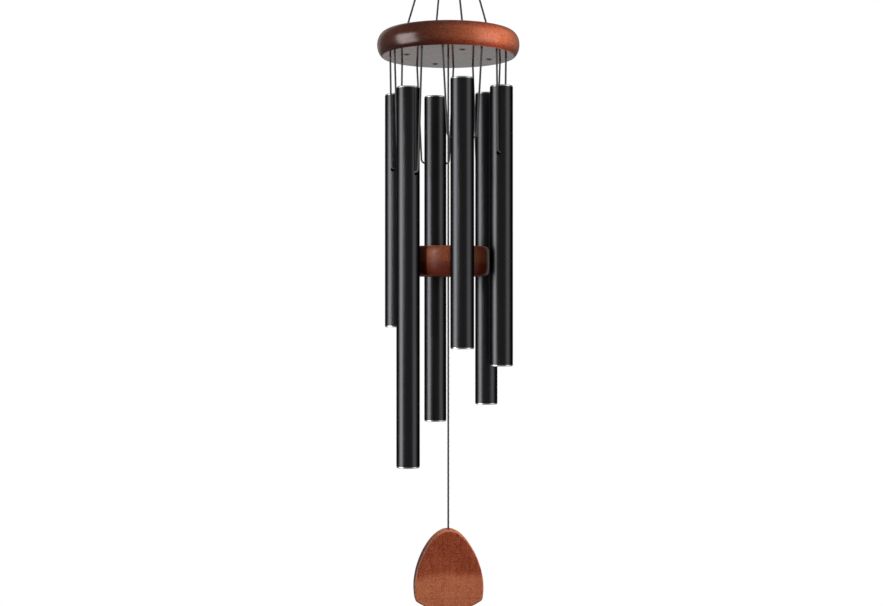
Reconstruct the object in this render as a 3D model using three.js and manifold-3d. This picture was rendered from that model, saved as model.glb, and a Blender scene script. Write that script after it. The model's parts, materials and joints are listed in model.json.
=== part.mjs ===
// An aluminium wind chime. Six tubes of different lengths hang on cords from a turned wooden disc.
// A round wooden striker and a wooden wind sail hang on a cord down the middle, and four cords
// carry the disc from a steel ring.
// Millimetres, +Z up. The origin is where a hook bears, inside the top of the hanging ring.
// The front is -Y. Each tube stands in a frame of its own: X away from the middle, Y along the
// line between its two cord holes.

import * as THREE from 'three';
import { mergeVertices } from 'three/addons/utils/BufferGeometryUtils.js';
import Module from 'manifold-3d';

// Clearances
const SEAT_GAP = 0.3; // between pieces that rest on each other
const CORD_GAP = 0.5; // all round a cord where it runs through a hole
const PIVOT_GAP = 0.5; // between a cord's end and the hole or knot that it swings from
const HANG_GAP = 0.45; // over a cord, under the hole's edge that hangs on it
const STRIKER_GAP = 2.2; // free travel of the striker before it meets a tube

// Hanging ring and the loop of cord round it
const RING_BORE = 20;
const RING_WIRE = 3;
const LOOP_CORD = 2.6; // the doubled cord of the loop
const LOOP_PLAY = 6.4; // how much wider the loop's inside is than the ring's wire
const GATHER_D = 9; // the knot that gathers the four hanger cords
const GATHER_LENGTH = 14;
const GATHER_COVER = 1.4; // knot over the loop
const GATHER_ROUND = 3;

// Cords and their stopper knots
const CORD_D = 1.9;
const BEND = 2 * CORD_D; // radius of a cord's bend, at its middle
const KNOT_D = 5;
const KNOT_HEIGHT = 4.4;
const LEAD = 12; // the short top length of a middle cord, which bends the other way

// Wooden disc
const DISC_THICKNESS = 23.4;
const DISC_RIM = 12.7; // wood outside the tube cords' holes
const DISC_TOP_REACH = 9.3; // how far the top edge's rounding reaches in
const DISC_BOTTOM_REACH = 7.7; // the same for the lower edge, were it rounded to the end
const DISC_ARRIS = 0.72; // quarter turns of the lower rounding before the flat underside cuts it
const DISC_BELLY = 11; // height of the widest line above the underside
const HANGER_CIRCLE_D = 83.4; // circle of the four hanger holes
const HANGER_ANGLE = 18; // first hanger hole, in degrees
const HANGER_COUNT = 4;
const HANGER_RISE = 131; // from the disc's top to the gathering knot
const HANGER_BUNDLE_D = 4.6; // circle on which the cords leave the knot
const HANGER_KNOT_SHOW = 1.2; // how far their stopper knots stand out of the disc's underside

// Tubes, in order round the circle: length, gap from the disc down to the tube,
// and the cross hole's depth below the tube's top
const TUBE_1_LENGTH = 266.5;
const TUBE_1_DROP = 30.3;
const TUBE_1_HOLE = 64.1;
const TUBE_2_LENGTH = 307;
const TUBE_2_DROP = 29.6;
const TUBE_2_HOLE = 68.5;
const TUBE_3_LENGTH = 323.8;
const TUBE_3_DROP = 30.8;
const TUBE_3_HOLE = 67.5;
const TUBE_4_LENGTH = 226;
const TUBE_4_DROP = 34.3;
const TUBE_4_HOLE = 73.4;
const TUBE_5_LENGTH = 356;
const TUBE_5_DROP = 34.8;
const TUBE_5_HOLE = 81;
const TUBE_6_LENGTH = 251;
const TUBE_6_DROP = 28.3;
const TUBE_6_HOLE = 56;
const TUBES = [
  { length: TUBE_1_LENGTH, drop: TUBE_1_DROP, hole: TUBE_1_HOLE },
  { length: TUBE_2_LENGTH, drop: TUBE_2_DROP, hole: TUBE_2_HOLE },
  { length: TUBE_3_LENGTH, drop: TUBE_3_DROP, hole: TUBE_3_HOLE },
  { length: TUBE_4_LENGTH, drop: TUBE_4_DROP, hole: TUBE_4_HOLE },
  { length: TUBE_5_LENGTH, drop: TUBE_5_DROP, hole: TUBE_5_HOLE },
  { length: TUBE_6_LENGTH, drop: TUBE_6_DROP, hole: TUBE_6_HOLE },
];
const TUBE_D = 22;
const TUBE_WALL = 1.5;
const TUBE_CHAMFER = 0.5; // how far each end's chamfer cuts into the wall
const TUBE_CHAMFER_HEIGHT = 1.3; // how far it runs along the tube
const TUBE_CIRCLE_D = 105;
const TUBE_ANGLE = -16; // first tube, in degrees
const TUBE_HOLE_PLAY = 2.8; // how much wider a cross hole is than the cord
const CORD_SPREAD = 37.4; // between a tube's two cord holes in the disc

// Striker
const STRIKER_THICKNESS = 28.5;
const STRIKER_TOP_ROUND = 4.5; // how far the top edge's rounding reaches in
const STRIKER_BOTTOM_ROUND = 6.5; // the same for the lower edge
const STRIKER_SWELL = 4; // power of the side's curve, flatter with a larger one
const STRIKER_DROP = 182.7; // from the disc's underside to the striker's top

// Wind sail
const SAIL_WIDTH = 66.4;
const SAIL_HEIGHT = 78;
const SAIL_THICKNESS = 18;
const SAIL_EDGE_ROUND = 1.4;
const SAIL_CROWN = 17; // how far the round top runs level before it falls
const SAIL_FLANK = 24; // how far the flanks lean in only slowly, above the widest line
const SAIL_SIDE = 12; // side below the widest line, down to each lower corner
const SAIL_TUCK = 0.8; // how far that side draws in
const SAIL_BULGE = 11; // how far the round foot hangs below the corners
const SAIL_CORNER_ROUND = 2;
const SAIL_DROP = 243; // from the striker's underside to the sail's top
const SAIL_SOCKET = 16; // depth of the cord's hole in the sail
const SAIL_TURN = 5; // the sail's turn at rest, in degrees

// Fineness of round faces
const DISC_SIDES = 48;
const TUBE_SIDES = 24;
const CORD_SIDES = 8;
const KNOT_SIDES = 10;
const HOLE_SIDES = 12;
const RING_STEPS = 28;
const ROUND_STEPS = 5; // steps in a rounded edge
const SWELL_STEPS = 6; // steps from the striker's widest line to its edge
const BEND_STEPS = 3; // steps in a cord's bend
const CURVE_STEPS = 9; // steps in a curve of the sail's outline
const OVERCUT = 1; // how far a cutter stands out of what it cuts
const BEVEL_STEPS = 2; // steps in the sail's softened edges
const MERGE = 1e-4; // points nearer than this are one point

// Finishes
const BLACK_METAL = new THREE.MeshStandardMaterial({ color: 0x1b1b1c, roughness: 0.35, metalness: 0.8 });
const WOOD = new THREE.MeshStandardMaterial({ color: 0x7c3f2a, roughness: 0.4, metalness: 0 });
const CORD_BLACK = new THREE.MeshStandardMaterial({ color: 0x0d0d0d, roughness: 0.85, metalness: 0 });
const STEEL = new THREE.MeshStandardMaterial({ color: 0xb8b8b6, roughness: 0.25, metalness: 1 });

// Heights and radii that follow
const ringCentre = -RING_BORE / 2;
const wireCentre = ringCentre - RING_BORE / 2 - RING_WIRE / 2;
const loopBore = RING_WIRE + LOOP_PLAY;
const loopRadius = (loopBore + LOOP_CORD) / 2;
const loopCentre = wireCentre + RING_WIRE / 2 + SEAT_GAP - loopBore / 2;
const loopFoot = loopCentre - loopRadius;
const gatherTop = loopFoot + LOOP_CORD / 2 + SEAT_GAP + GATHER_COVER;
const gatherFoot = loopFoot - LOOP_CORD / 2 - SEAT_GAP - GATHER_LENGTH;
const discTop = gatherFoot - HANGER_RISE;
const discFoot = discTop - DISC_THICKNESS;
const tubeCircle = TUBE_CIRCLE_D / 2;
const discRadius = Math.hypot(tubeCircle, CORD_SPREAD / 2) + DISC_RIM;
const hangerKnotFoot = discFoot - HANGER_KNOT_SHOW;
const cordHole = CORD_D / 2 + CORD_GAP;
const knotPocket = KNOT_D / 2 + CORD_GAP;
const pocketDepth = KNOT_HEIGHT + SEAT_GAP;
const strikerRadius = tubeCircle - TUBE_D / 2 - STRIKER_GAP;
const strikerTop = discFoot - STRIKER_DROP;
const strikerFoot = strikerTop - STRIKER_THICKNESS;
const sailTop = strikerFoot - SAIL_DROP;
const sailCorner = SAIL_HEIGHT - SAIL_BULGE;
const sailWidest = sailCorner - SAIL_SIDE;

const wasm = await Module();
wasm.setup();

// A closed solid for cutting and joining
function solid(geometry) {
  geometry.deleteAttribute('normal');
  geometry.deleteAttribute('uv');
  const merged = mergeVertices(geometry, MERGE);
  const corners = merged.index.array;
  const kept = [];
  for (let i = 0; i < corners.length; i += 3) {
    const [a, b, c] = [corners[i], corners[i + 1], corners[i + 2]];
    if (a !== b && b !== c && c !== a) kept.push(a, b, c);
  }
  return new wasm.Manifold(new wasm.Mesh({
    numProp: 3,
    vertProperties: new Float32Array(merged.attributes.position.array),
    triVerts: new Uint32Array(kept),
  }));
}

function geometryOf(manifold) {
  const { vertProperties, triVerts } = manifold.getMesh();
  const geometry = new THREE.BufferGeometry();
  geometry.setAttribute('position', new THREE.BufferAttribute(new Float32Array(vertProperties), 3));
  geometry.setIndex(new THREE.BufferAttribute(new Uint32Array(triVerts), 1));
  geometry.computeVertexNormals();
  return geometry;
}

// A profile of [radius, height] points, turned about Z
function turned(profile, sides) {
  const points = profile.map(([radius, height]) => new THREE.Vector2(radius, height));
  return new THREE.LatheGeometry(points, sides).rotateX(Math.PI / 2);
}

// Points of a quarter ellipse, from one angle in quarter turns to the next
function quarter(centreR, centreZ, reachR, reachZ, from, to) {
  const points = [];
  for (let i = 0; i <= ROUND_STEPS; i += 1) {
    const angle = (from + ((to - from) * i) / ROUND_STEPS) * (Math.PI / 2);
    points.push([centreR + reachR * Math.cos(angle), centreZ + reachZ * Math.sin(angle)]);
  }
  return points;
}

// An upright round pin, for holes and pockets
function pin(radius, foot, top) {
  return new THREE.CylinderGeometry(radius, radius, top - foot, HOLE_SIDES)
    .rotateX(Math.PI / 2)
    .translate(0, 0, (foot + top) / 2);
}

// A cord's route goes through each point of its list, one step to a point
class Route extends THREE.Curve {
  constructor(points) {
    super();
    this.points = points.map((point) => new THREE.Vector3(...point));
  }

  getPoint(t, target = new THREE.Vector3()) {
    const place = t * (this.points.length - 1);
    const before = Math.min(Math.floor(place), this.points.length - 2);
    return target.lerpVectors(this.points[before], this.points[before + 1], place - before);
  }

  getUtoTmapping(u) {
    return u;
  }
}

// A round cord along a list of points
function cord(points, diameter = CORD_D) {
  const section = new THREE.Shape();
  for (let i = 0; i < CORD_SIDES; i += 1) {
    const angle = (2 * Math.PI * i) / CORD_SIDES;
    const corner = [(diameter / 2) * Math.cos(angle), (diameter / 2) * Math.sin(angle)];
    if (i === 0) section.moveTo(...corner);
    else section.lineTo(...corner);
  }
  section.closePath();
  const route = new Route(points);
  return new THREE.ExtrudeGeometry(section, { steps: points.length - 1, extrudePath: route });
}

// A stopper knot whose cord runs on from it: up where the end is above the knot, or else down
function knotProfile(foot, stemEnd) {
  const top = foot + KNOT_HEIGHT;
  const middle = foot + KNOT_HEIGHT / 2;
  const lower = quarter(0, middle, KNOT_D / 2, KNOT_HEIGHT / 2, -1, 0);
  const upper = quarter(0, middle, KNOT_D / 2, KNOT_HEIGHT / 2, 0, 1);
  const stem = CORD_D / 2;
  const outside = ([radius]) => radius > stem;
  if (stemEnd > top) {
    const bulb = [...lower, ...upper.slice(1).filter(outside)];
    return [...bulb, [stem, top], [stem, stemEnd], [0, stemEnd]];
  }
  const bulb = [...lower.slice(0, -1).filter(outside), ...upper];
  return [[0, stemEnd], [stem, stemEnd], [stem, foot], ...bulb];
}

function knot(foot, stemEnd) {
  return turned(knotProfile(foot, stemEnd), KNOT_SIDES);
}

function piece(name, geometry, material) {
  const mesh = new THREE.Mesh(geometry, material);
  mesh.name = name;
  return mesh;
}

function around(angle, radius) {
  const turn = THREE.MathUtils.degToRad(angle);
  return [radius * Math.cos(turn), radius * Math.sin(turn)];
}

// The steel ring that a hook carries, standing in the XZ plane
function hangingRing() {
  const radius = (RING_BORE + RING_WIRE) / 2;
  return new THREE.TorusGeometry(radius, RING_WIRE / 2, CORD_SIDES, RING_STEPS)
    .rotateX(Math.PI / 2)
    .translate(0, 0, ringCentre);
}

// A ring of cord in the YZ plane
function loopRing(thickness) {
  return new THREE.TorusGeometry(loopRadius, thickness / 2, CORD_SIDES, RING_STEPS)
    .rotateY(Math.PI / 2)
    .translate(0, 0, loopCentre);
}

// The knot that holds the four hanger cords together, with a way through it for the loop
function gatherKnot() {
  const radius = GATHER_D / 2;
  const inner = radius - GATHER_ROUND;
  const body = turned([
    [0, gatherFoot],
    ...quarter(inner, gatherFoot + GATHER_ROUND, GATHER_ROUND, GATHER_ROUND, -1, 0),
    ...quarter(inner, gatherTop - GATHER_ROUND, GATHER_ROUND, GATHER_ROUND, 0, 1),
    [0, gatherTop],
  ], HOLE_SIDES);
  return geometryOf(solid(body).subtract(solid(loopRing(LOOP_CORD + 2 * SEAT_GAP))));
}

// A hanger cord, from the gathering knot through the disc to its stopper knot in a pocket
function hangerCord(angle) {
  const [startX, startY] = around(angle, HANGER_BUNDLE_D / 2);
  const [holeX, holeY] = around(angle, HANGER_CIRCLE_D / 2);
  const knotMiddle = hangerKnotFoot + KNOT_HEIGHT / 2;
  const run = cord([
    [startX, startY, gatherFoot - SEAT_GAP],
    [holeX, holeY, discTop + CORD_D],
    [holeX, holeY, knotMiddle],
  ]);
  const stopper = turned([
    ...quarter(0, knotMiddle, KNOT_D / 2, KNOT_HEIGHT / 2, -1, 1),
  ], KNOT_SIDES).translate(holeX, holeY, 0);
  return geometryOf(solid(run).add(solid(stopper)));
}

function tubeFrame(index) {
  const frame = new THREE.Group();
  const angle = TUBE_ANGLE + (360 * index) / TUBES.length;
  const [x, y] = around(angle, tubeCircle);
  frame.position.set(x, y, discFoot);
  frame.rotation.z = THREE.MathUtils.degToRad(angle);
  return frame;
}

// The turned disc with its holes for the tube cords, the hanger cords and the middle cord.
// The knots sit in pockets: the hanger cords' in the underside, and the others' in the top.
function topDisc() {
  const belly = discFoot + DISC_BELLY;
  const crown = DISC_THICKNESS - DISC_BELLY;
  const keel = DISC_BELLY / Math.sin((DISC_ARRIS * Math.PI) / 2);
  const upperIn = discRadius - DISC_TOP_REACH;
  const lowerIn = discRadius - DISC_BOTTOM_REACH;
  let disc = solid(turned([
    [0, discFoot],
    ...quarter(lowerIn, belly, DISC_BOTTOM_REACH, keel, -DISC_ARRIS, 0),
    ...quarter(upperIn, belly, DISC_TOP_REACH, crown, 0, 1).slice(1),
    [0, discTop],
  ], DISC_SIDES));
  const through = pin(cordHole, discFoot - OVERCUT, discTop + OVERCUT);
  const pocket = pin(knotPocket, discFoot - OVERCUT, hangerKnotFoot + pocketDepth);
  const topPocket = pin(knotPocket, discTop - pocketDepth, discTop + OVERCUT);
  const cutters = [through.clone(), topPocket.clone()];
  TUBES.forEach((tube, index) => {
    const frame = tubeFrame(index);
    frame.position.z = 0;
    frame.updateMatrix();
    for (const side of [-1, 1]) {
      for (const cutter of [through, topPocket]) {
        const hole = cutter.clone().translate(0, (side * CORD_SPREAD) / 2, 0);
        cutters.push(hole.applyMatrix4(frame.matrix));
      }
    }
  });
  for (let i = 0; i < HANGER_COUNT; i += 1) {
    const [x, y] = around(HANGER_ANGLE + (360 * i) / HANGER_COUNT, HANGER_CIRCLE_D / 2);
    cutters.push(through.clone().translate(x, y, 0));
    cutters.push(pocket.clone().translate(x, y, 0));
  }
  for (const cutter of cutters) disc = disc.subtract(solid(cutter));
  return geometryOf(disc);
}

// An open tube with its top at zero, chamfered ends and a cross hole through both walls
function chimeTube({ length, hole }) {
  const outer = TUBE_D / 2;
  const inner = outer - TUBE_WALL;
  const wall = solid(turned([
    [outer - TUBE_CHAMFER, -length],
    [outer, TUBE_CHAMFER_HEIGHT - length],
    [outer, -TUBE_CHAMFER_HEIGHT],
    [outer - TUBE_CHAMFER, 0],
    [inner, 0],
    [inner, -length],
    [outer - TUBE_CHAMFER, -length],
  ], TUBE_SIDES));
  const holeRadius = (CORD_D + TUBE_HOLE_PLAY) / 2;
  const cross = new THREE.CylinderGeometry(holeRadius, holeRadius, TUBE_D + 2 * OVERCUT, HOLE_SIDES)
    .translate(0, 0, -hole);
  return geometryOf(wall.subtract(solid(cross)));
}

// A tube's cord: down one side, across under the upper edges of the tube's cross holes, and up again
function tubeCord({ drop, hole }) {
  const holeTop = -drop - hole + (CORD_D + TUBE_HOLE_PLAY) / 2;
  const crossing = holeTop - HANG_GAP - CORD_D / 2;
  const bendIn = (TUBE_D - TUBE_WALL) / 2;
  const half = [];
  for (let i = 0; i <= BEND_STEPS; i += 1) {
    const angle = (Math.PI / 2) * (i / BEND_STEPS);
    half.push([bendIn + BEND * Math.sin(angle), crossing + BEND * (1 - Math.cos(angle))]);
  }
  half.push([CORD_SPREAD / 2, -PIVOT_GAP]);
  const left = half.map(([y, z]) => [0, -y, z]).reverse();
  const right = half.map(([y, z]) => [0, y, z]);
  return cord([...left, ...right]);
}

// The striker, a thick disc with swelling sides and softened edges. Its cord's hole opens into
// a pocket in the underside for the knot.
function strikerDisc() {
  const half = STRIKER_THICKNESS / 2;
  const side = [];
  for (let i = -SWELL_STEPS; i <= SWELL_STEPS; i += 1) {
    const height = Math.sin((Math.PI / 2) * (i / SWELL_STEPS));
    const reach = i < 0 ? STRIKER_BOTTOM_ROUND : STRIKER_TOP_ROUND;
    const swell = (1 - Math.abs(height) ** STRIKER_SWELL) ** (1 / STRIKER_SWELL);
    side.push([strikerRadius - reach * (1 - swell), strikerFoot + half + half * height]);
  }
  const body = solid(turned([[0, strikerFoot], ...side, [0, strikerTop]], DISC_SIDES));
  const through = pin(cordHole, strikerFoot - OVERCUT, strikerTop + OVERCUT);
  const pocket = pin(knotPocket, strikerFoot - OVERCUT, strikerFoot + pocketDepth);
  return geometryOf(body.subtract(solid(through)).subtract(solid(pocket)));
}

// The sail's outline, from the middle of its top round to the right and back, with the top at zero
function sailOutline() {
  const half = SAIL_WIDTH / 2;
  const shape = new THREE.Shape();
  const corner = half - SAIL_TUCK;
  const cornerIn = corner - SAIL_CORNER_ROUND;
  const cornerUp = sailCorner - SAIL_CORNER_ROUND;
  const cornerFoot = SAIL_HEIGHT - SAIL_BULGE * (cornerIn / corner) ** 2;
  const flank = sailWidest - SAIL_FLANK;
  const tuck = (sailWidest + cornerUp) / 2;
  shape.moveTo(0, 0);
  shape.bezierCurveTo(SAIL_CROWN, 0, half, -flank, half, -sailWidest);
  shape.quadraticCurveTo(half, -tuck, corner, -cornerUp);
  shape.quadraticCurveTo(corner, -sailCorner, cornerIn, -cornerFoot);
  shape.quadraticCurveTo(cornerIn / 2, -SAIL_HEIGHT, 0, -SAIL_HEIGHT);
  shape.quadraticCurveTo(-cornerIn / 2, -SAIL_HEIGHT, -cornerIn, -cornerFoot);
  shape.quadraticCurveTo(-corner, -sailCorner, -corner, -cornerUp);
  shape.quadraticCurveTo(-half, -tuck, -half, -sailWidest);
  shape.bezierCurveTo(-half, -flank, -SAIL_CROWN, 0, 0, 0);
  return shape;
}

// The sail stands upright, with its cord's hole in the middle of its top edge
function sailPlate() {
  const board = new THREE.ExtrudeGeometry(sailOutline(), {
    depth: SAIL_THICKNESS - 2 * SAIL_EDGE_ROUND,
    curveSegments: CURVE_STEPS,
    bevelEnabled: true,
    bevelThickness: SAIL_EDGE_ROUND,
    bevelSize: SAIL_EDGE_ROUND,
    bevelOffset: -SAIL_EDGE_ROUND,
    bevelSegments: BEVEL_STEPS,
  });
  board.translate(0, 0, SAIL_EDGE_ROUND - SAIL_THICKNESS / 2).rotateX(Math.PI / 2);
  return geometryOf(solid(board).subtract(solid(pin(cordHole, -SAIL_SOCKET, OVERCUT))));
}

// The suspension
const chime = new THREE.Group();
chime.add(piece('hanging_ring', hangingRing(), STEEL));
chime.add(piece('hanger_loop', loopRing(LOOP_CORD), CORD_BLACK));
chime.add(piece('gather_knot', gatherKnot(), CORD_BLACK));
for (let i = 0; i < HANGER_COUNT; i += 1) {
  const angle = HANGER_ANGLE + (360 * i) / HANGER_COUNT;
  chime.add(piece(`hanger_cord_${i + 1}`, hangerCord(angle), CORD_BLACK));
}
chime.add(piece('top_disc', topDisc(), WOOD));

// The tubes with their cords and the knots that the cords end in, in the top of the disc
TUBES.forEach((tube, index) => {
  const number = index + 1;
  const frame = tubeFrame(index);
  const body = piece(`tube_${number}`, chimeTube(tube), BLACK_METAL);
  body.position.z = -tube.drop;
  frame.add(body, piece(`tube_cord_${number}`, tubeCord(tube), CORD_BLACK));
  [-1, 1].forEach((side, end) => {
    const name = `tube_knot_${number}${'ab'[end]}`;
    const stopper = piece(name, knot(DISC_THICKNESS - KNOT_HEIGHT, PIVOT_GAP), CORD_BLACK);
    stopper.position.y = (side * CORD_SPREAD) / 2;
    frame.add(stopper);
  });
  chime.add(frame);
});

// The striker on its cord, which hangs by a knot in the top of the disc
chime.add(piece('striker_top_knot', knot(discTop - KNOT_HEIGHT, discFoot + PIVOT_GAP), CORD_BLACK));
chime.add(piece('striker_cord_top', cord([
  [0, 0, discFoot - PIVOT_GAP],
  [0, 0, discFoot - LEAD],
]), CORD_BLACK));
chime.add(piece('striker_cord', cord([
  [0, 0, discFoot - LEAD - PIVOT_GAP],
  [0, 0, strikerTop + SEAT_GAP],
]), CORD_BLACK));
chime.add(piece('striker', strikerDisc(), WOOD));
chime.add(piece('striker_knot', knot(strikerFoot, strikerTop - SEAT_GAP), CORD_BLACK));

// The sail on the cord's lower length
chime.add(piece('sail_cord_top', cord([
  [0, 0, strikerFoot - PIVOT_GAP],
  [0, 0, strikerFoot - LEAD],
]), CORD_BLACK));
chime.add(piece('sail_cord', cord([
  [0, 0, strikerFoot - LEAD - PIVOT_GAP],
  [0, 0, sailTop - SAIL_SOCKET + SEAT_GAP],
]), CORD_BLACK));
const sail = piece('sail', sailPlate(), WOOD);
sail.position.z = sailTop;
sail.rotation.z = THREE.MathUtils.degToRad(SAIL_TURN);
chime.add(sail);

export default chime;
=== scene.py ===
"""A wind chime of black aluminium tubes, cords and lacquered wood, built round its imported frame.

Metres, +Z up, with the front towards -Y. The origin is where a hook bears, inside the hanging ring.
"""

import json
import math

import bmesh
import bpy
import numpy as np
from bpy.props import FloatProperty, FloatVectorProperty, PointerProperty
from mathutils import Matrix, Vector

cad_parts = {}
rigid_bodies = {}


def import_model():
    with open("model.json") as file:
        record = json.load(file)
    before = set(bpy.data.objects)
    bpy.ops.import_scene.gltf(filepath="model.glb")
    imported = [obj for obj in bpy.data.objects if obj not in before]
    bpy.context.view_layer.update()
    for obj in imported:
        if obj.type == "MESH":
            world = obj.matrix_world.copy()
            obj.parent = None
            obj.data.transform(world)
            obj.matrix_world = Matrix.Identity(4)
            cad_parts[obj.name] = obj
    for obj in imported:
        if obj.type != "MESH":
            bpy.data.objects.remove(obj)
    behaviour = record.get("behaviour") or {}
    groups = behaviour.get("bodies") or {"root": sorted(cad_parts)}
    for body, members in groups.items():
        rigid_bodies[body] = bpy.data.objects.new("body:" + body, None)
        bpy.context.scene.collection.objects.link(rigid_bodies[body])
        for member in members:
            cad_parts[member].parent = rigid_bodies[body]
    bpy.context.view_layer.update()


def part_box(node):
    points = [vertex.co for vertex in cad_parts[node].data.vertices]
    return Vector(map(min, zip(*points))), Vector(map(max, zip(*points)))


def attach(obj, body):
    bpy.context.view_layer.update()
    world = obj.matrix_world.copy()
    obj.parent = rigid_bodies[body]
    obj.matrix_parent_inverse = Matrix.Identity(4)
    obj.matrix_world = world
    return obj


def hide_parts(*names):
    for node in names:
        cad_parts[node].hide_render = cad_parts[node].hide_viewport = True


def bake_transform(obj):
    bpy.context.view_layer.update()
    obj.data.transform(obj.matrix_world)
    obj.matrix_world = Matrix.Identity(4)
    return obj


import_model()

bl_info = {
    "name": "Wind Chime",
    "version": (1, 0, 0),
    "blender": (4, 5, 0),
    "location": "View3D > Sidebar > Wind Chime",
    "description": "Builds a hanging wind chime of tubes, cords and lacquered wood",
    "category": "Object",
}

MM = 0.001

# What the frame gives: how many there are of each piece, and the heights that hold them together
TUBE_COUNT = 6
HANGER_COUNT = 4
DISC_LOW, DISC_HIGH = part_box("top_disc")
STRIKER_LOW, STRIKER_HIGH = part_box("striker")
SAIL_LOW, SAIL_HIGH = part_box("sail")
RING_LOW, RING_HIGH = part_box("hanging_ring")
LOOP_LOW, LOOP_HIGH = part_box("hanger_loop")
GATHER_LOW, GATHER_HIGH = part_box("gather_knot")
HANGER_KNOT_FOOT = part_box("hanger_cord_1")[0].z
SAIL_KNOT_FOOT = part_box("striker_knot")[0].z

# Fineness of the meshes
CORD_SIDES = 12
CORD_STEP = 0.6 * MM
PLAIT_STRANDS = 3
WIRE_SIDES = 24
HOLE_SIDES = 32
TUBE_SIDES = 96
DISC_SIDES = 160
ARC_STEPS = 14
BEND_STEPS = 8
SHARP_ANGLE = math.radians(32)
OVERCUT = 1 * MM

# A direction to start a cord's cross vectors from, and the sine of its angle to the cord that is too small
ASKEW = (0.31, 0.17, 0.93)
TOO_SMALL = 0.2

# How near a point has to be to count as on an edge, and a face or point as on a flat
ON_EDGE = 0.1 * MM
ON_FLAT = 0.02 * MM

# The panel lights: degrees round from the front, metres above the eye, metres away, width and height in
# metres, and whether they show as gloss or also light the matt surfaces
PANELS = {
    "strip": (-71, 0.0, 1.3, (0.8, 1.2), "gloss"),
    "box": (66, 0.1, 1.3, (0.9, 1.6), "gloss"),
    "back": (-162, 0.8, 1.5, (1.4, 1.4), "both"),
    "top": (20, 1.34, 0.27, (1.2, 1.2), "both"),
}

# The soft spotlights: the same three places, then the lamp's radius in metres, degrees across the beam, the
# piece they face and how far right of its middle, and whether they show as gloss too
SPOTS = {
    "key": (60, 0.2, 1.3, 0.03, 3.5, ("top_disc", -0.05), "matt"),
    "front": (-42, 0.28, 1.2, 0.1, 6.5, ("striker", -0.01), "both"),
    "low": (40, 0.95, 1.1, 0.06, 13, ("sail", 0.0), "matt"),
}

WHITE = (1.0, 1.0, 1.0, 1.0)

# The floor: radii of its rings in metres, the radii between which it fades out, and the share of plain white
# in what the camera sees of it
FLOOR_RINGS = (0.4, 0.8, 1.3)
FLOOR_FADE = (0.45, 1.25)
FLOOR_GLOW = 0.6

# The two groups that leave pieces out: of what blocks the gloss panels, and of what they light
GLOSS_BLOCKERS = "gloss_blockers"
GLOSS_RECEIVERS = "gloss_receivers"

# Grains of the wood to the metre along each axis
GRAIN_ACROSS = (45, 320, 320)
GRAIN_UPRIGHT = (320, 320, 45)

# A cord's cut end, as a share of its radius, and how far it runs on inside a piece, in its diameters
CUT_END = 0.7
CORD_LAP = 1.5

# A stopper knot: its turns, the points along them, how near the middle its ends are tucked, as a share of its
# reach, and how fast they come out from there
KNOT_TURNS = 2.25
KNOT_STEPS = 54
KNOT_TUCK = 0.45
KNOT_UNTUCK = 4

# Room round a knot in its pocket, and under it
KNOT_ROOM = 0.5 * MM
KNOT_SEAT = 0.3 * MM

# How far the loop's foot curves up at the sides of the cords that are folded over it, and the twists of its
# two strands round each other
LOOP_CURVE = 0.4 * MM
LOOP_TWISTS = 6

# The gathering knot: how far up in it the cords end and the hanger cords bend outwards, and the rise of one
# turn of its winding and how far that ends below the loop, in diameters of the cord
GATHER_TUCK = 9 * MM
GATHER_BEND = 4 * MM
WINDING_RISE = 1.02
WINDING_DROP = 1.5

# Width of the strip under the disc in which its rubbed edge fades out
DISC_RUB = 1.2 * MM

# A tube: the gap over the cord that it hangs on, its broken inner edges, and half the band of its mesh round
# the cross hole, as a share of the hole
TUBE_GAP = 0.45 * MM
TUBE_BURR = 0.2 * MM
TUBE_BAND = 0.8

# The striker's rubbed edges, paler and on the top edge also a painted highlight: how worn they are, and
# from what share of half its thickness
STRIKER_WEAR_AND_HIGHLIGHT = 0.7
STRIKER_SHOULDER = 0.94

# The sail: how worn and paler its edges are at the top, partly as a painted highlight, how far down that
# fades, the shares of its softened edge that are worn and that show end grain, and the inset of its flat
# faces in widths of that edge
SAIL_WEAR_AND_HIGHLIGHT = 0.8
SAIL_WEAR_AND_HIGHLIGHT_REACH = 40 * MM
SAIL_WORN = 0.85
SAIL_END_GRAIN = 0.5
SAIL_INSET = 3


def length_setting(name, description, millimetres):
    """A length in the panel."""
    return FloatProperty(name=name, description=description, default=millimetres * MM, unit="LENGTH")


def share_setting(name, description, share):
    """A share in the panel."""
    return FloatProperty(name=name, description=description, default=share, subtype="FACTOR")


def angle_setting(name, description, degrees):
    """An angle in the panel."""
    return FloatProperty(name=name, description=description, default=math.radians(degrees), subtype="ANGLE")


def power_setting(name, description, watts):
    """A light's power in the panel."""
    return FloatProperty(name=name, description=description, default=watts, unit="POWER")


def colour_setting(name, description, *default):
    """A colour in the panel."""
    return FloatVectorProperty(name=name, description=description, default=default, subtype="COLOR")


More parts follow.
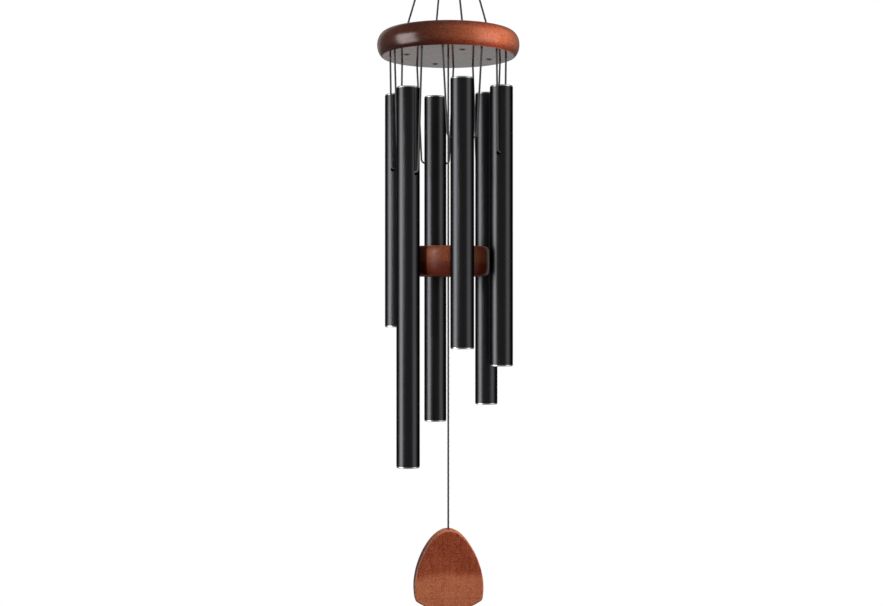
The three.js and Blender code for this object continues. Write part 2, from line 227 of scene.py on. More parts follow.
class ChimeSizes(bpy.types.PropertyGroup):
    """Sizes of the chime's pieces, beside the ones that the frame's boxes give."""

    cord_diameter: length_setting("Cord", "Diameter of the plaited cord", 1.9)
    cord_plait: length_setting(
        "Plait", "Length of cord in which a strand of the plait goes once round", 5.6
    )
    cord_relief: share_setting(
        "Plait Relief", "Depth of the plait's furrows, as a share of the cord's radius", 0.08
    )
    cord_bend: length_setting("Cord Bend", "Radius of a cord's tightest bend", 3.8)
    knot_diameter: length_setting("Stopper Knot", "Diameter of a stopper knot", 5)
    knot_height: length_setting("Stopper Knot Height", "Height of a stopper knot", 4.4)
    hole_diameter: length_setting("Cord Hole", "Diameter of the cord holes in the wooden pieces", 2.9)
    hole_arris: length_setting("Hole Arris", "How far the edges of the cord holes are broken", 0.3)
    loop_cord: length_setting("Loop Cord", "Thickness of the doubled cord of the loop in the ring", 2.6)
    ring_wire: length_setting("Ring Wire", "Thickness of the hanging ring's wire", 3)
    hanger_circle: length_setting(
        "Hanger Circle", "Diameter of the circle of the four hanger cords' holes", 83.4
    )
    hanger_angle: angle_setting("Hanger Angle", "Angle of the first hanger cord's hole, from the right", 18)
    disc_belly: length_setting("Disc Belly", "Height of the disc's widest line above its underside", 11)
    disc_top_reach: length_setting("Disc Top Rounding", "How far the disc's top edge is rounded in", 9.3)
    disc_bottom_reach: length_setting(
        "Disc Lower Rounding",
        "How far the disc's lower edge would be rounded in, were it round to the end",
        7.7,
    )
    disc_arris: share_setting(
        "Disc Arris", "Quarter turns of the lower rounding before the flat underside cuts it", 0.72
    )
    tube_diameter: length_setting("Tube", "Outside diameter of the tubes", 22)
    tube_wall: length_setting("Tube Wall", "Thickness of the tubes' wall", 1.5)
    tube_chamfer: length_setting(
        "Tube Chamfer", "How far the chamfer at a tube's ends cuts into the wall", 0.5
    )
    tube_chamfer_height: length_setting(
        "Tube Chamfer Height", "How far that chamfer runs along the tube", 1.3
    )
    tube_hole: length_setting("Tube Hole", "Diameter of the cross hole that a tube hangs by", 4.7)
    striker_top_round: length_setting(
        "Striker Top Rounding", "How far the striker's top edge is rounded in", 4.5
    )
    striker_bottom_round: length_setting(
        "Striker Lower Rounding", "How far the striker's lower edge is rounded in", 6.5
    )
    striker_swell: FloatProperty(
        name="Striker Swell",
        description="Power of the curve of the striker's side, which is flatter with a larger one",
        default=4,
    )
    sail_width: length_setting("Sail Width", "Width of the sail at its widest line", 66.4)
    sail_thickness: length_setting("Sail Thickness", "Thickness of the sail's board", 18)
    sail_edge: length_setting("Sail Edge", "Radius of the sail's softened edges", 1.4)
    sail_crown: length_setting("Sail Crown", "How far the sail's round top runs level before it falls", 17)
    sail_flank: length_setting(
        "Sail Flank", "How far the flanks lean in only slowly, above the widest line", 24
    )
    sail_side: length_setting("Sail Side", "Side below the widest line, down to each lower corner", 12)
    sail_tuck: length_setting("Sail Tuck", "How far that side draws in", 0.8)
    sail_bulge: length_setting("Sail Bulge", "How far the sail's round foot hangs below its corners", 11)
    sail_corner: length_setting("Sail Corner", "How far the lower corners are rounded", 2)
    sail_socket: length_setting("Sail Socket", "Depth of the cord's hole in the sail's top edge", 16)
    sail_turn: angle_setting("Sail Turn", "How far the sail is turned about its cord at rest", 5)


class ChimeColours(bpy.types.PropertyGroup):
    """Colours of the chime's finishes."""

    tube_coat: colour_setting("Tube Coat", "Satin black coat of the tubes", 0.009, 0.009, 0.0095)
    tube_edge: colour_setting("Tube Edge", "Chamfered tube ends, where the coat is thin", 0.15, 0.15, 0.152)
    tube_metal: colour_setting(
        "Tube Metal", "Bare aluminium where the coat has worn through", 0.32, 0.32, 0.33
    )
    wood_dark: colour_setting(
        "Dark Wood", "Pores and darkest figure of the stained wood", 0.13, 0.018, 0.006
    )
    wood_red: colour_setting("Red Wood", "Main colour of the stained wood", 0.30, 0.075, 0.032)
    # Besides the wood's figure, this colour paints the worn edges, which on the striker's and sail's top
    # edges are also a painted highlight.
    wood_light: colour_setting(
        "Light Wood", "Lightest figure and worn edges of the stained wood", 0.46, 0.17, 0.085
    )
    cord_black: colour_setting("Cord", "Black plaited cord", 0.004, 0.004, 0.0045)
    cord_worn: colour_setting(
        "Cord Nap", "Rubbed fibres on the high parts of the plait", 0.012, 0.012, 0.013
    )
    ring_steel: colour_setting("Ring Steel", "Plated steel of the hanging ring", 0.24, 0.24, 0.235)
    floor_pale: colour_setting("Floor", "Pale floor below the chime", 0.78, 0.78, 0.78)


class ChimeStage(bpy.types.PropertyGroup):
    """Camera and light round the chime."""

    camera_distance: length_setting(
        "Camera Distance", "How far the camera stands in front of the middle cord", 1337
    )
    camera_aside: length_setting(
        "Camera Aside", "How far the camera stands to the left of the middle cord", 6.5
    )
    camera_below: length_setting(
        "Camera Below", "How far the camera stands below the disc's underside", 236.8
    )
    camera_lens: FloatProperty(
        name="Camera Lens",
        description="Focal length on a sensor 36 mm wide, in millimetres",
        default=56.67,
        subtype="DISTANCE_CAMERA",
    )
    floor_drop: length_setting("Floor Drop", "How far the floor lies below the hook", 1700)
    strip_power: power_setting(
        "Strip Light", "Power of the tall light at the left, which only glosses, in watts", 88
    )
    box_power: power_setting(
        "Box Light", "Power of the wide light at the right, which only glosses, in watts", 30
    )
    key_power: power_setting("Key Light", "Power of the light on the disc from the right, in watts", 208)
    front_power: power_setting(
        "Front Light", "Power of the light on the striker from the left, in watts", 125
    )
    low_power: power_setting("Low Light", "Power of the light on the sail, in watts", 160)
    back_power: power_setting("Back Light", "Power of the weak soft light behind, in watts", 9)
    top_power: power_setting("Top Light", "Power of the weak soft light above, in watts", 2)
    fill: share_setting("Fill", "Level of the even light from all round", 0.12)


def sizes():
    """The sizes that the user has set."""
    return bpy.context.scene.chime_sizes


def colours():
    """The colours that the user has set."""
    return bpy.context.scene.chime_colours


def paint(name, share=1.0):
    """A colour of the panel, or a share of it, with full alpha."""
    return (*(share * part for part in getattr(colours(), name)), 1.0)


class Wire:
    """An output socket. An expression on wires and numbers adds its Math nodes."""

    def __init__(self, nodes, socket):
        self.nodes = nodes
        self.socket = socket

    def math(self, operation, first, second):
        """A Math node on two values."""
        return self.nodes.add("ShaderNodeMath", {"operation": operation}, {0: first, 1: second})

    def __add__(self, other):
        return self.math("ADD", self, other)

    __radd__ = __add__

    def __sub__(self, other):
        return self.math("SUBTRACT", self, other)

    def __rsub__(self, other):
        return self.math("SUBTRACT", other, self)

    def __mul__(self, other):
        return self.math("MULTIPLY", self, other)

    __rmul__ = __mul__


class Nodes:
    """The nodes of one material or of the world."""

    def __init__(self, owner):
        owner.use_nodes = True
        self.tree = owner.node_tree
        self.tree.nodes.clear()

    def add(self, kind, settings=None, inputs=None, out=0):
        """Adds a node: its settings first, then the values or links of its sockets."""
        node = self.tree.nodes.new(kind)
        for name, value in (settings or {}).items():
            if name == "stops":
                set_stops(node.color_ramp, value)
            else:
                setattr(node, name, value)
        for name, value in (inputs or {}).items():
            if isinstance(value, Wire):
                self.tree.links.new(value.socket, node.inputs[name])
            else:
                node.inputs[name].default_value = value
        return Wire(self, node.outputs[out]) if node.outputs else None

    def place(self):
        """The place on the piece."""
        return self.add("ShaderNodeTexCoord", out="Object")

    def cord_place(self):
        """The place round and along a cord."""
        return self.add("ShaderNodeUVMap", {"uv_map": "cord"})

    def along(self, axis, place):
        """A place's distance along one axis."""
        return self.add("ShaderNodeSeparateXYZ", None, {"Vector": place}, axis)

    def marked(self, name):
        """The share that the mesh gives each point under that name."""
        return self.add("ShaderNodeAttribute", {"attribute_name": name}, None, "Fac")

    def mix(self, factor, first, second):
        """Two colours mixed."""
        return self.add("ShaderNodeMix", {"data_type": "RGBA"}, {0: factor, 6: first, 7: second}, 2)

    def noise(self, place, scale, detail, roughness=0.5):
        """Noise from 0 to 1 at a number of grains to the metre."""
        inputs = {"Vector": place, "Scale": scale, "Detail": detail, "Roughness": roughness}
        return self.add("ShaderNodeTexNoise", None, inputs, "Fac")

    def stretched(self, place, stretch):
        """A place scaled along each axis."""
        return self.add("ShaderNodeVectorMath", {"operation": "MULTIPLY"}, {0: place, 1: stretch})

    def step(self, value, low, high):
        """0 below one value, 1 above the other, and a soft step between them."""
        inputs = {"Value": value, "From Min": low, "From Max": high}
        return self.add("ShaderNodeMapRange", {"interpolation_type": "SMOOTHSTEP"}, inputs)

    def bump(self, height, depth):
        """Normals from a height of 0 to 1 that is that deep."""
        return self.add("ShaderNodeBump", None, {"Height": height, "Strength": 1.0, "Distance": depth})

    def seen(self):
        """1 where the camera sees a place, straight, in gloss or through something clear, and 0 elsewhere."""
        rays = [f"Is {kind} Ray" for kind in ("Camera", "Glossy", "Transmission")]
        camera, gloss, clear = (self.add("ShaderNodeLightPath", out=ray) for ray in rays)
        return camera + gloss + clear

    def surface(self, inputs):
        """The material's own shader."""
        shader = self.add("ShaderNodeBsdfPrincipled", None, inputs)
        self.add("ShaderNodeOutputMaterial", None, {"Surface": shader})


def set_stops(ramp, stops):
    """Gives a colour ramp its stops, as (place, colour)."""
    while len(ramp.elements) < len(stops):
        ramp.elements.new(1.0)
    for element, (place, colour) in zip(ramp.elements, stops):
        element.position = place
        element.color = colour


def finish_of(make):
    """The material that a function makes, under the function's name and made on first use."""
    found = bpy.data.materials.get(make.__name__)
    if found is None:
        found = bpy.data.materials.new(make.__name__)
        make(Nodes(found))
    return found


def black_coat(nodes):
    """Satin black coat on metal, with the fine orange peel of a sprayed finish."""
    place = nodes.place()
    grain = nodes.noise(place, 2600, 2)
    cloud = nodes.noise(place, 70, 3)
    streak = nodes.noise(nodes.stretched(place, (900, 900, 12)), 1, 2)
    rub = nodes.step(streak, 0.62, 0.8) * nodes.step(cloud, 0.5, 0.7)
    nodes.surface({
        "Base Color": nodes.mix(0.25 * cloud + 0.5 * rub, paint("tube_coat"), paint("tube_coat", 1.6)),
        "Metallic": 1.0,
        "Roughness": 0.27 + 0.04 * grain + 0.05 * cloud,
        "Specular Tint": (0.1, 0.1, 0.1, 1.0),
        "Normal": nodes.bump(grain, 0.006 * MM),
    })


def worn_edge(nodes):
    """Chamfered tube ends, where the black coat is thin and worn through in specks."""
    place = nodes.place()
    specks = nodes.noise(place, 1500, 3)
    lines = nodes.noise(nodes.stretched(place, (150, 150, 3000)), 1, 2)
    worn = nodes.step(specks, 0.62, 0.7)
    nodes.surface({
        "Base Color": nodes.mix(worn, paint("tube_edge"), paint("tube_metal")),
        "Metallic": 1.0,
        "Roughness": 0.27 + 0.1 * lines,
        "Specular Tint": (0.3, 0.3, 0.3, 1.0),
        "Normal": nodes.bump(lines, 0.01 * MM),
    })


def dark_bore(nodes):
    """Matt black inside of the tubes and of their cross holes."""
    place = nodes.place()
    cloud = nodes.noise(place, 300, 3)
    nodes.surface({
        "Base Color": nodes.mix(cloud, paint("tube_coat"), paint("cord_black")),
        "Roughness": 0.8 + 0.15 * cloud,
        "Specular IOR Level": 0.0,
    })


def wood_finish(nodes, stretch, lacquer, gloss_roughness, painted_light_and_tone):
    """Stained wood under lacquer: grain along the shortest stretch, pores, and paler worn edges, partly a
    painted highlight.

    The last argument is a function of the nodes and the place that shifts the tone there, to paint shade and
    reflection.
    """
    place = nodes.place()
    along = nodes.stretched(place, stretch)
    grain = nodes.noise(along, 1, 4, 0.6)
    speckle = nodes.noise(place, 900, 2, 0.75)
    pores = nodes.step(nodes.noise(nodes.stretched(along, (2.2, 2.2, 2.2)), 1, 2), 0.6, 0.75)
    cloud = nodes.noise(place, 28, 2)
    figure = 0.5 + 0.3 * (grain - 0.5) + 1.1 * (speckle - 0.5) + 0.4 * (cloud - 0.5) - 0.15 * pores
    # The tone takes the painted shade and painted reflection from the last argument.
    tone = figure + painted_light_and_tone(nodes, place)
    clear = lacquer * (1 + 1.2 * (speckle - 0.5) - 0.3 * pores)
    end_grain = nodes.marked("end_grain")
    stops = [(0.12, paint("wood_dark")), (0.5, paint("wood_red")), (0.92, paint("wood_light"))]
    stain_and_painted_light = nodes.add("ShaderNodeValToRGB", {"stops": stops}, {"Fac": tone - 0.1 * end_grain})
    # Worn edges, painted paler; on the striker's and sail's top edges they also stand as a painted highlight.
    rubbed = nodes.marked("wear")
    wear = rubbed * nodes.step(speckle, 0.3, 0.6)
    nodes.surface({
        "Base Color": nodes.mix(0.85 * wear, stain_and_painted_light, paint("wood_light")),
        "Roughness": 0.5 + 0.16 * speckle + 0.1 * pores,
        "Specular IOR Level": 0.0,
        "Coat Weight": clear * (1 - 0.5 * end_grain) * (1 - 0.8 * rubbed),
        "Coat Roughness": gloss_roughness,
        "Normal": nodes.bump(0.5 * speckle + 0.5 * grain - 0.6 * pores, 0.03 * MM),
    })


def disc_wood(nodes):
    """Wood of the disc, with its grain across the view and painted shade, darker towards both edges of its
    rim.
    """

    # Painted shade: darker towards the rim's top and lower edges, where the rim turns away from the light.
    def dark_edges(nodes, place):
        height = nodes.along("Z", place)
        start, end = 8 * MM, 1 * MM
        upper = nodes.step(height, DISC_HIGH.z - start, DISC_HIGH.z - end)
        lower = nodes.step(height, DISC_LOW.z + start, DISC_LOW.z + end)
        return -0.34 * (upper + lower)

    wood_finish(nodes, GRAIN_ACROSS, 0.18, 0.22, dark_edges)


def disc_underside(nodes):
    """The flat underside of the disc, darker as painted shade where it faces down, and with a smoother and
    thicker coat.
    """
    # Painted shade: the whole underside is darker.
    wood_finish(nodes, GRAIN_ACROSS, 0.5, 0.1, lambda nodes, place: -0.3)


def striker_wood(nodes):
    """Wood of the striker, with painted shade, darker towards its foot."""

    # Painted shade: darker towards the foot, away from the light from above.
    def dark_foot(nodes, place):
        height = nodes.along("Z", place)
        start, end = 18 * MM, 6 * MM
        return -0.48 * nodes.step(height, STRIKER_LOW.z + start, STRIKER_LOW.z + end)

    wood_finish(nodes, GRAIN_ACROSS, 0.25, 0.34, dark_foot)


def sail_wood(nodes):
    """Wood of the sail, with upright grain and a painted reflection, a paler band across its foot."""

    # Painted reflection: paler below a wavy line across the foot; the tone is also darker all over, paler on
    # the soft edges.
    def foot_band(nodes, place):
        wave = nodes.noise(nodes.stretched(place, (34, 34, 12)), 1, 3)
        border = SAIL_HIGH.z - 43 * MM
        slope, ripple = 0.08, 9 * MM
        drop = border - nodes.along("Z", place) + slope * nodes.along("X", place) + ripple * (wave - 0.5)
        start, end = -5 * MM, 6 * MM
        return 0.34 * nodes.step(drop, start, end) - 0.23 + 0.4 * nodes.marked("end_grain")

    wood_finish(nodes, GRAIN_UPRIGHT, 0.2, 0.3, foot_band)


def black_cord(nodes):
    """Black plaited cord, with fibres along each strand and a little nap on the high parts."""
    place = nodes.cord_place()
    fibres = nodes.noise(nodes.stretched(place, (60, 2600, 1)), 1, 3)
    nap = nodes.noise(nodes.place(), 2400, 2)
    nodes.surface({
        "Base Color": nodes.mix(nodes.step(nap, 0.45, 0.75), paint("cord_black"), paint("cord_worn")),
        "Roughness": 0.62 + 0.25 * fibres,
        "Specular IOR Level": 0.01,
        "Normal": nodes.bump(0.6 * fibres + 0.4 * nap, 0.05 * MM),
    })


def ring_steel(nodes):
    """Plated steel wire with fine brushing along it."""
    place = nodes.cord_place()
    brushed = nodes.noise(nodes.stretched(place, (90, 500, 1)), 1, 3)
    spots = nodes.noise(nodes.place(), 420, 3)
    dull = nodes.step(spots, 0.55, 0.8)
    nodes.surface({
        "Base Color": nodes.mix(dull, paint("ring_steel"), paint("ring_steel", 0.55)),
        "Metallic": 1.0,
        "Roughness": 0.2 + 0.16 * brushed,
        "Normal": nodes.bump(brushed, 0.012 * MM),
    })


def pale_floor(nodes):
    """A matt pale floor that keeps the shadow and fades out towards its edge."""
    place = nodes.place()
    mottle = nodes.noise(place, 40, 4)
    matt = nodes.add("ShaderNodeBsdfPrincipled", None, {
        "Base Color": nodes.mix(mottle, paint("floor_pale"), paint("floor_pale", 0.95)),
        "Roughness": 0.8 + 0.1 * mottle,
    })
    flat = nodes.stretched(place, (1, 1, 0))
    away = nodes.add("ShaderNodeVectorMath", {"operation": "LENGTH"}, {0: flat}, "Value")
    glow = nodes.add("ShaderNodeEmission", None, {"Color": WHITE, "Strength": 1.0})
    shown = nodes.add("ShaderNodeMixShader", None, {0: FLOOR_GLOW * nodes.seen(), 1: matt, 2: glow})
    clear = nodes.add("ShaderNodeBsdfTransparent")
    mixed = nodes.add("ShaderNodeMixShader", None, {0: nodes.step(away, *FLOOR_FADE), 1: shown, 2: clear})
    nodes.add("ShaderNodeOutputMaterial", None, {"Surface": mixed})


def add_piece(name, points, faces, *finishes):
    """A smooth mesh object in the scene."""
    mesh = bpy.data.meshes.new(name)
    mesh.from_pydata([tuple(point) for point in points], [], faces)
    for finish in finishes:
        mesh.materials.append(finish)
    mesh.shade_smooth()
    piece = bpy.data.objects.new(name, mesh)
    bpy.context.scene.collection.objects.link(piece)
    return piece


def cut(piece, points, faces):
    """Cuts closed shapes, given as one mesh, out of a piece."""
    cutter = add_piece("cutter", points, faces)
    change = piece.modifiers.new("cut", "BOOLEAN")
    change.object = cutter
    change.solver = "EXACT"
    graph = bpy.context.evaluated_depsgraph_get()
    whole = piece.data
    piece.data = bpy.data.meshes.new_from_object(piece.evaluated_get(graph))
    piece.modifiers.clear()
    bpy.data.meshes.remove(whole)
    bpy.data.meshes.remove(cutter.data)


def turn_outward(piece):
    """Makes all faces of a closed mesh face outwards."""
    shape = bmesh.new()
    shape.from_mesh(piece.data)
    bmesh.ops.recalc_face_normals(shape, faces=shape.faces)
    shape.to_mesh(piece.data)
    shape.free()


def keep_edges(piece):
    """Sharp edges stay sharp, and flat faces stay flat beside rounded ones."""
    piece.data.shade_smooth()
    piece.data.set_sharp_from_angle(angle=SHARP_ANGLE)
    weighted = piece.modifiers.new("flat_faces", "WEIGHTED_NORMAL")
    weighted.keep_sharp = True


def mark(piece, name, share):
    """Gives each point a share under that name, from a function of its place."""
    shares = piece.data.attributes.new(name, "FLOAT", "POINT")
    shares.data.foreach_set("value", [share(point.co) for point in piece.data.vertices])


def around(angle, radius):
    """A place at an angle from the right and a distance from the middle."""
    return radius * math.cos(angle), radius * math.sin(angle)


def arc(centre, reach, start, end):
    """Points of an ellipse in a profile, from one angle to the next in quarter turns."""
    angles = np.linspace(start, end, ARC_STEPS + 1) * math.pi / 2
    radius, height = centre
    return [(radius + reach[0] * math.cos(a), height + reach[1] * math.sin(a)) for a in angles]


def turned(profile, sides, centre=(0, 0)):
    """Points and faces of a profile of (radius, height) turned about an upright axis.

    A profile that starts and ends on the axis gives a solid, one that only starts there an open dish,
    and any other one a closed ring.
    """
    points, rings, faces = [], [], []
    for radius, height in profile:
        count = 1 if radius == 0 else sides
        rings.append([len(points) + i for i in range(count)])
        for i in range(count):
            angle = 2 * math.pi * i / sides
            x, y = around(angle, radius)
            points.append((centre[0] + x, centre[1] + y, height))
    pairs = list(zip(rings, rings[1:]))
    if len(rings[0]) > 1:
        pairs.append((rings[-1], rings[0]))
    for low, high in pairs:
        for i in range(sides):
            j = (i + 1) % sides
            corners = [low[i % len(low)], low[j % len(low)], high[j % len(high)], high[i % len(high)]]
            faces.append(tuple(dict.fromkeys(corners)))
    return points, faces


def merged(parts):
    """Several sets of points and faces as one."""
    points, faces = [], []
    for part_points, part_faces in parts:
        start = len(points)
        points.extend(part_points)
        faces.extend(tuple(start + corner for corner in face) for face in part_faces)
    return points, faces


def filleted(points, radius):
    """A route whose corners are arcs of that radius."""
    points = [Vector(point) for point in points]
    route = [points[0]]
    for before, corner, after in zip(points, points[1:], points[2:]):
        back = (before - corner).normalized()
        on = (after - corner).normalized()
        half = back.angle(on) / 2
        middle = corner + (back + on).normalized() * (radius / math.sin(half))
        first = corner + back * (radius / math.tan(half)) - middle
        last = corner + on * (radius / math.tan(half)) - middle
        spokes = [first.slerp(last, i / BEND_STEPS) for i in range(BEND_STEPS + 1)]
        route += [middle + spoke.normalized() * radius for spoke in spokes]
    return route + [points[-1]]


def spaced(route):
    """A route with its points evenly apart."""
    route = np.array([tuple(point) for point in route])
    reached = np.concatenate([[0], np.cumsum(np.linalg.norm(np.diff(route, axis=0), axis=1))])
    places = np.linspace(0, reached[-1], max(2, round(reached[-1] / CORD_STEP) + 1))
    return np.column_stack([np.interp(places, reached, route[:, axis]) for axis in range(3)])


def route_frames(route, closed):
    """Two unit vectors across a route at each point, which turn with it and don't twist."""
    along = np.roll(route, -1, 0) - np.roll(route, 1, 0) if closed else np.gradient(route, axis=0)
    along /= np.linalg.norm(along, axis=1)[:, None]
    side = np.cross(along[0], ASKEW)
    if np.linalg.norm(side) < TOO_SMALL:
        side = np.cross(along[0], (1, 0, 0))
    sides = []
    for direction in along:
        side = side - direction * np.dot(side, direction)
        side = side / np.linalg.norm(side)
        sides.append(side)
    sides = np.array(sides)
    others = np.cross(along, sides)
    if closed:
        last = sides[-1] - along[0] * np.dot(sides[-1], along[0])
        miss = math.atan2(np.dot(last, others[0]), np.dot(last, sides[0]))
        undo = -miss * np.arange(len(route))[:, None] / len(route)
        untwisted = np.cos(undo) * sides + np.sin(undo) * others
        others = np.cos(undo) * others - np.sin(undo) * sides
        sides = untwisted
    return sides, others


class Strands:
    """Round strands along routes, collected into one mesh."""

    def __init__(self):
        self.points, self.faces, self.places = [], [], []

    def add(self, route, radius, sides=CORD_SIDES, plait=None, relief=0.0, closed=False):
        """Adds a strand, with the furrows of a plait where one is given."""
        route = np.array(route)
        across, over = route_frames(route, closed)
        steps = np.linalg.norm(np.diff(route, axis=0), axis=1)
        reached = np.concatenate([[0], np.cumsum(steps)])
        start, rings = len(self.points), len(route)
        for ring in range(rings):
            swell = 1.0 if closed or 0 < ring < rings - 1 else CUT_END
            for i in range(sides):
                angle = 2 * math.pi * i / sides
                reach = radius * swell
                if plait:
                    turn = 2 * math.pi * reached[ring] / plait
                    left, right = (math.cos(PLAIT_STRANDS * angle + way * turn) for way in (1, -1))
                    reach *= 1 - relief * (1 - max(left, right)) / 2
                offset = math.cos(angle) * across[ring] + math.sin(angle) * over[ring]
                self.points.append(route[ring] + reach * offset)
        for ring in range(rings if closed else rings - 1):
            after = (ring + 1) % rings
            begin = reached[ring]
            end = reached[ring + 1] if after else begin + np.linalg.norm(route[0] - route[-1])
            for i in range(sides):
                j = (i + 1) % sides
                corners = [(ring, i), (ring, j), (after, j), (after, i)]
                self.faces.append(tuple(start + sides * r + k for r, k in corners))
                here, beside = i / sides, (i + 1) / sides
                self.places += [(here, begin), (beside, begin), (beside, end), (here, end)]
        if not closed:
            last = start + sides * (rings - 1)
            self.faces.append(tuple(start + i for i in reversed(range(sides))))
            self.faces.append(tuple(last + i for i in range(sides)))
            self.places += [(0, 0)] * sides + [(0, reached[-1])] * sides

    def add_cord(self, route):
        """Adds a plaited cord along a route."""
        size = sizes()
        self.add(route, size.cord_diameter / 2, plait=size.cord_plait, relief=size.cord_relief)

    def add_knot(self, centre, foot):
        """Adds a stopper knot, the cord wound round itself with its ends tucked in."""
        size = sizes()
        thick = size.cord_diameter / 2
        reach = size.knot_diameter / 2 - thick
        route = []
        for i in range(KNOT_STEPS + 1):
            share = i / KNOT_STEPS
            tucked = reach * min(1, KNOT_TUCK + KNOT_UNTUCK * min(share, 1 - share))
            x, y = around(2 * math.pi * KNOT_TURNS * share, tucked)
            height = foot + thick + (size.knot_height - 2 * thick) * share
            route.append((centre[0] + x, centre[1] + y, height))
        self.add_cord(spaced(route))

    def piece(self, name, finish):
        """The collected strands as an object."""
        piece = add_piece(name, self.points, self.faces, finish)
        layer = piece.data.uv_layers.new(name="cord")
        layer.data.foreach_set("uv", np.array(self.places, dtype=np.float32).ravel())
        return piece


def middle_of(node):
    """The middle of a CAD node's box."""
    low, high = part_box(node)
    return (low + high) / 2


def hanger_angles():
    """The angles of the four hanger cords."""
    return [sizes().hanger_angle + 2 * math.pi * i / HANGER_COUNT for i in range(HANGER_COUNT)]


def light_group(name):
    """The group of that name for the panels that only gloss, made on first use."""
    return bpy.data.collections.get(name) or bpy.data.collections.new(name)


def leave_out(piece, name):
    """Leaves a piece out of the ones that block those panels' light, or out of the ones that get it."""
    group = light_group(name)
    group.objects.link(piece)
    group.collection_objects[len(group.objects) - 1].light_linking.link_state = "EXCLUDE"


class CHIME_OT_stage(bpy.types.Operator):
    """Set up the camera, the lights, the white surroundings and the pale floor"""

    bl_idname = "chime.stage"
    bl_label = "Stage"

    def execute(self, context):
        stage = context.scene.chime_stage
        context.scene.view_settings.view_transform = "Standard"
        self.add_camera(context.scene, stage)
        for name in PANELS:
            self.add_panel(name, stage)
        for name in SPOTS:
            self.add_spot(name, stage)
        self.add_surroundings(context.scene, stage.fill)
        self.add_floor(stage.floor_drop)
        return {"FINISHED"}

    def add_camera(self, scene, stage):
        """A level camera in front of the chime."""
        data = bpy.data.cameras.new("camera")
        data.lens = stage.camera_lens
        camera = bpy.data.objects.new("camera", data)
        height = DISC_LOW.z - stage.camera_below
        camera.location = (-stage.camera_aside, -stage.camera_distance, height)
        camera.rotation_euler = (math.radians(90), 0, 0)
        scene.collection.objects.link(camera)
        scene.camera = camera

    def add_panel(self, name, stage):
        """A large soft light that faces the chime at the height of the longest tube's middle."""
        *place, size, shows = PANELS[name]
        data = bpy.data.lights.new(f"{name}_light", "AREA")
        data.shape = "RECTANGLE"
        data.size, data.size_y = size
        self.set_up(data, stage, name, place, Vector((0, 0, middle_of("tube_5").z)), shows)

    def add_spot(self, name, stage):
        """A soft-edged spotlight on one piece."""
        *place, radius, beam, (faced, aside), shows = SPOTS[name]
        data = bpy.data.lights.new(f"{name}_light", "SPOT")
        data.shadow_soft_size = radius
        data.spot_size = math.radians(beam)
        data.spot_blend = 1.0
        self.set_up(data, stage, name, place, Vector((aside, 0, middle_of(faced).z)), shows)

    def set_up(self, data, stage, name, place, target, shows):
        """Puts a light in its place, faces it to its target and keeps it out of sight."""
        degrees, above, away = place
        data.energy = getattr(stage, f"{name}_power")
        light = bpy.data.objects.new(data.name, data)
        eye = DISC_LOW.z - stage.camera_below
        light.location = (*around(math.radians(degrees - 90), away), eye + above)
        light.rotation_euler = (target - light.location).to_track_quat("-Z", "Y").to_euler()
        light.visible_camera = False
        light.visible_diffuse = shows != "gloss"
        light.visible_glossy = shows != "matt"
        if shows == "gloss":
            light.light_linking.blocker_collection = light_group(GLOSS_BLOCKERS)
            light.light_linking.receiver_collection = light_group(GLOSS_RECEIVERS)
        bpy.context.scene.collection.objects.link(light)

    def add_surroundings(self, scene, fill):
        """White all round for the camera and for reflections, and an even weak light on the chime."""
        scene.world = bpy.data.worlds.new("white_room")
        nodes = Nodes(scene.world)
        soft = nodes.add("ShaderNodeBackground", None, {"Color": WHITE, "Strength": fill})
        plain = nodes.add("ShaderNodeBackground", None, {"Color": WHITE, "Strength": 1.0})
        mixed = nodes.add("ShaderNodeMixShader", None, {0: nodes.seen(), 1: soft, 2: plain})
        nodes.add("ShaderNodeOutputWorld", None, {"Surface": mixed})

    def add_floor(self, drop):
        """A round pale floor that fades into the white."""
        profile = [(radius, -drop) for radius in (0, *FLOOR_RINGS)]
        floor = add_piece("floor", *turned(profile, TUBE_SIDES), finish_of(pale_floor))


def hang(piece, body, *nodes, slot="black_cord"):
    """Lets a piece move with a body and stand for that body's CAD nodes. The slot is not used."""
    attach(piece, body)
    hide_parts(*nodes)


def declare_cord(route):
    """Makes a list of a route's points as tuples, which is then dropped."""
    route = [tuple(point) for point in route]


class CHIME_OT_hanger_cords(bpy.types.Operator):
    """Add the four cords that carry the disc, each with its stopper knot under the disc"""

    bl_idname = "chime.hanger_cords"
    bl_label = "Hanger Cords"

    def execute(self, context):
        size = sizes()
        thick = size.cord_diameter / 2
        bundle = math.sqrt(2) * thick
        for number, angle in enumerate(hanger_angles(), 1):
            inner = around(angle, bundle)
            outer = around(angle, bundle + thick)
            hole = around(angle, size.hanger_circle / 2)
            route = spaced(filleted([
                (*inner, GATHER_LOW.z + GATHER_TUCK),
                (*inner, GATHER_LOW.z + GATHER_BEND),
                (*outer, GATHER_LOW.z),
                (*hole, DISC_HIGH.z + size.cord_diameter),
                (*hole, HANGER_KNOT_FOOT + thick),
            ], size.cord_bend))
            strands = Strands()
            strands.add_cord(route)
            strands.add_knot(hole, HANGER_KNOT_FOOT)
            piece = strands.piece(f"cord_hanger_{number}", finish_of(black_cord))
            hang(piece, "canopy", f"hanger_cord_{number}")
            declare_cord(route)
        return {"FINISHED"}


